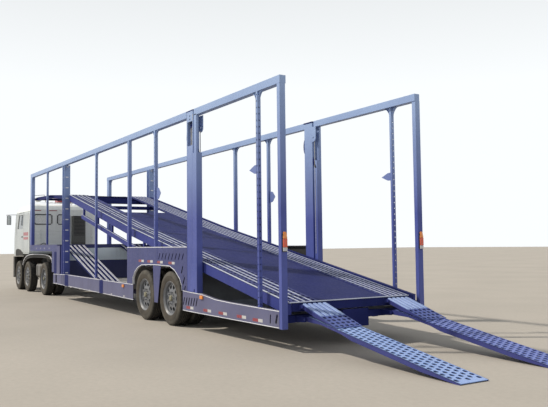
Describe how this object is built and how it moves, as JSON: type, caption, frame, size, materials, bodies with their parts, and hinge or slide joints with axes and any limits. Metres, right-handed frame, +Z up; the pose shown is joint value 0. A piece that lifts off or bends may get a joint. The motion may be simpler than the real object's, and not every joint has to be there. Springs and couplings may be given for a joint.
{
  "type": "car transporter lorry",
  "caption": "Articulated car transporter: cab-over tractor and two-level caged semi-trailer, upper deck sloping to the rear, loading ramps down.",
  "frame": {"origin": "middle of the whole lorry's bounding box, on the ground", "axes": "+X forward to the cab, +Y to the driver's left, +Z up"},
  "size_m": [22.26, 3.09, 4],
  "materials": {
    "trailer_blue": "semi-gloss blue paint, dusty",
    "floor_plate": "worn dusty paint",
    "deck_blue": "semi-gloss blue paint, scuffed",
    "ramp_blue": "semi-gloss blue paint, scuffed",
    "chassis_black": "dusty black paint",
    "engine": "oily cast iron",
    "tank": "dull aluminium",
    "cab_white": "off-white gloss paint",
    "cab_trim": "dark matte plastic",
    "lamp": "orange-red lens",
    "tyre": "dusty black rubber on grey steel disc"
  },
  "bodies": {
    "trailer": {"gooseneck": "trailer_blue", "main_frame": "trailer_blue", "frame_cross_members": "trailer_blue", "lower_deck": "floor_plate", "side_skirts": "trailer_blue", "fender_panels": "trailer_blue", "front_cage_left": "trailer_blue", "front_cage_right": "trailer_blue", "rear_cage_left": "trailer_blue", "rear_cage_right": "trailer_blue", "well_tracks": "floor_plate", "rear_crossbeam": "trailer_blue", "trailer_axles": "chassis_black", "landing_legs": "trailer_blue", "rear_lamps": "lamp", "front_deck": "trailer_blue"},
    "upper_deck": {"deck_frame": "deck_blue", "deck_cross_members": "deck_blue", "deck_lower_chords": "deck_blue", "deck_plates": "deck_blue"},
    "flap_left": {"ramp_flap_left": "ramp_blue"},
    "flap_right": {"ramp_flap_right": "ramp_blue"},
    "ramp_left": {"ramp_left": "ramp_blue"},
    "ramp_right": {"ramp_right": "ramp_blue"},
    "tractor": {"chassis_frame": "chassis_black", "chassis_cross_members": "chassis_black", "front_axles": "chassis_black", "drive_axle": "chassis_black", "fifth_wheel": "chassis_black", "engine_block": "engine", "fuel_tanks": "tank", "mudguards": "chassis_black", "cab_floor": "cab_white", "cab_front": "cab_white", "cab_rear_wall": "cab_white", "cab_sides": "cab_white", "cab_roof": "cab_white", "front_bumper": "cab_white", "intake_column": "chassis_black", "cab_interior": "cab_trim", "mirrors": "cab_trim"},
    "door_left": {"cab_door_left": "cab_white"},
    "door_right": {"cab_door_right": "cab_white"},
    "trailer_wheel_rear_left": {"trailer_wheel_rear_left": "tyre"},
    "trailer_wheel_rear_right": {"trailer_wheel_rear_right": "tyre"},
    "trailer_wheel_front_left": {"trailer_wheel_front_left": "tyre"},
    "trailer_wheel_front_right": {"trailer_wheel_front_right": "tyre"},
    "drive_wheel_left": {"drive_wheel_left": "tyre"},
    "drive_wheel_right": {"drive_wheel_right": "tyre"},
    "second_steer_wheel_left": {"second_steer_wheel_left": "tyre"},
    "second_steer_wheel_right": {"second_steer_wheel_right": "tyre"},
    "front_steer_wheel_left": {"front_steer_wheel_left": "tyre"},
    "front_steer_wheel_right": {"front_steer_wheel_right": "tyre"},
    "front_knuckle_left": {"front_knuckle_left": "chassis_black"},
    "front_knuckle_right": {"front_knuckle_right": "chassis_black"},
    "second_knuckle_left": {"second_knuckle_left": "chassis_black"},
    "second_knuckle_right": {"second_knuckle_right": "chassis_black"}
  },
  "joints": [
    {"name": "fifth_wheel_turn", "type": "hinge", "parent": "trailer", "child": "tractor", "pos_m": [6.47, 0, 1.21], "axis": [0, 0, 1], "range_deg": [-60, 60]},
    {"name": "deck_tilt", "type": "hinge", "parent": "trailer", "child": "upper_deck", "pos_m": [3.47, 0, 2.9], "axis": [0, 1, 0], "range_deg": [0, 10]},
    {"name": "ramp_left_fold", "type": "hinge", "parent": "trailer", "child": "ramp_left", "pos_m": [-8.23, 0.81, 0.455], "axis": [0, 1, 0], "range_deg": [0, 87]},
    {"name": "flap_left_fold", "type": "hinge", "parent": "upper_deck", "child": "flap_left", "pos_m": [-8.148, 0.81, 0.64], "axis": [0, 1, 0], "range_deg": [0, 96]},
    {"name": "door_left_hinge", "type": "hinge", "parent": "tractor", "child": "door_left", "pos_m": [10.72, 1.195, 1.8], "axis": [0, 0, -1], "range_deg": [0, 65]},
    {"name": "front_steer_left", "type": "hinge", "parent": "tractor", "child": "front_knuckle_left", "pos_m": [10.12, 0.905, 0.525], "axis": [0, 0, 1], "range_deg": [-35, 35]},
    {"name": "second_steer_left", "type": "hinge", "parent": "tractor", "child": "second_knuckle_left", "pos_m": [8.67, 0.905, 0.525], "axis": [0, 0, 1], "range_deg": [-26, 26]},
    {"name": "trailer_wheel_rear_left_roll", "type": "hinge", "parent": "trailer", "child": "trailer_wheel_rear_left", "pos_m": [-4.025, 1.205, 0.525], "axis": [0, 1, 0], "continuous": true},
    {"name": "trailer_wheel_front_left_roll", "type": "hinge", "parent": "trailer", "child": "trailer_wheel_front_left", "pos_m": [-2.702, 1.205, 0.525], "axis": [0, 1, 0], "continuous": true},
    {"name": "drive_wheel_left_roll", "type": "hinge", "parent": "tractor", "child": "drive_wheel_left", "pos_m": [6.37, 1.105, 0.525], "axis": [0, 1, 0], "continuous": true},
    {"name": "second_steer_wheel_left_roll", "type": "hinge", "parent": "second_knuckle_left", "child": "second_steer_wheel_left", "pos_m": [8.67, 1.105, 0.525], "axis": [0, 1, 0], "continuous": true},
    {"name": "front_steer_wheel_left_roll", "type": "hinge", "parent": "front_knuckle_left", "child": "front_steer_wheel_left", "pos_m": [10.12, 1.105, 0.525], "axis": [0, 1, 0], "continuous": true},
    {"name": "ramp_right_fold", "type": "hinge", "parent": "trailer", "child": "ramp_right", "pos_m": [-8.23, -0.81, 0.455], "axis": [0, 1, 0], "range_deg": [0, 87]},
    {"name": "flap_right_fold", "type": "hinge", "parent": "upper_deck", "child": "flap_right", "pos_m": [-8.148, -0.81, 0.64], "axis": [0, 1, 0], "range_deg": [0, 96]},
    {"name": "door_right_hinge", "type": "hinge", "parent": "tractor", "child": "door_right", "pos_m": [10.72, -1.195, 1.8], "axis": [0, 0, 1], "range_deg": [0, 65]},
    {"name": "front_steer_right", "type": "hinge", "parent": "tractor", "child": "front_knuckle_right", "pos_m": [10.12, -0.905, 0.525], "axis": [0, 0, 1], "range_deg": [-35, 35]},
    {"name": "second_steer_right", "type": "hinge", "parent": "tractor", "child": "second_knuckle_right", "pos_m": [8.67, -0.905, 0.525], "axis": [0, 0, 1], "range_deg": [-26, 26]},
    {"name": "trailer_wheel_rear_right_roll", "type": "hinge", "parent": "trailer", "child": "trailer_wheel_rear_right", "pos_m": [-4.025, -1.205, 0.525], "axis": [0, 1, 0], "continuous": true},
    {"name": "trailer_wheel_front_right_roll", "type": "hinge", "parent": "trailer", "child": "trailer_wheel_front_right", "pos_m": [-2.702, -1.205, 0.525], "axis": [0, 1, 0], "continuous": true},
    {"name": "drive_wheel_right_roll", "type": "hinge", "parent": "tractor", "child": "drive_wheel_right", "pos_m": [6.37, -1.105, 0.525], "axis": [0, 1, 0], "continuous": true},
    {"name": "second_steer_wheel_right_roll", "type": "hinge", "parent": "second_knuckle_right", "child": "second_steer_wheel_right", "pos_m": [8.67, -1.105, 0.525], "axis": [0, 1, 0], "continuous": true},
    {"name": "front_steer_wheel_right_roll", "type": "hinge", "parent": "front_knuckle_right", "child": "front_steer_wheel_right", "pos_m": [10.12, -1.105, 0.525], "axis": [0, 1, 0], "continuous": true}
  ],
  "couplings": [
    {"joint": "front_steer_right", "follows": "front_steer_left", "ratio": 1},
    {"joint": "second_steer_left", "follows": "front_steer_left", "ratio": 0.74},
    {"joint": "second_steer_right", "follows": "front_steer_left", "ratio": 0.74},
    {"joint": "flap_left_fold", "follows": "ramp_left_fold", "ratio": 1.1},
    {"joint": "flap_right_fold", "follows": "ramp_right_fold", "ratio": 1.1}
  ]
}
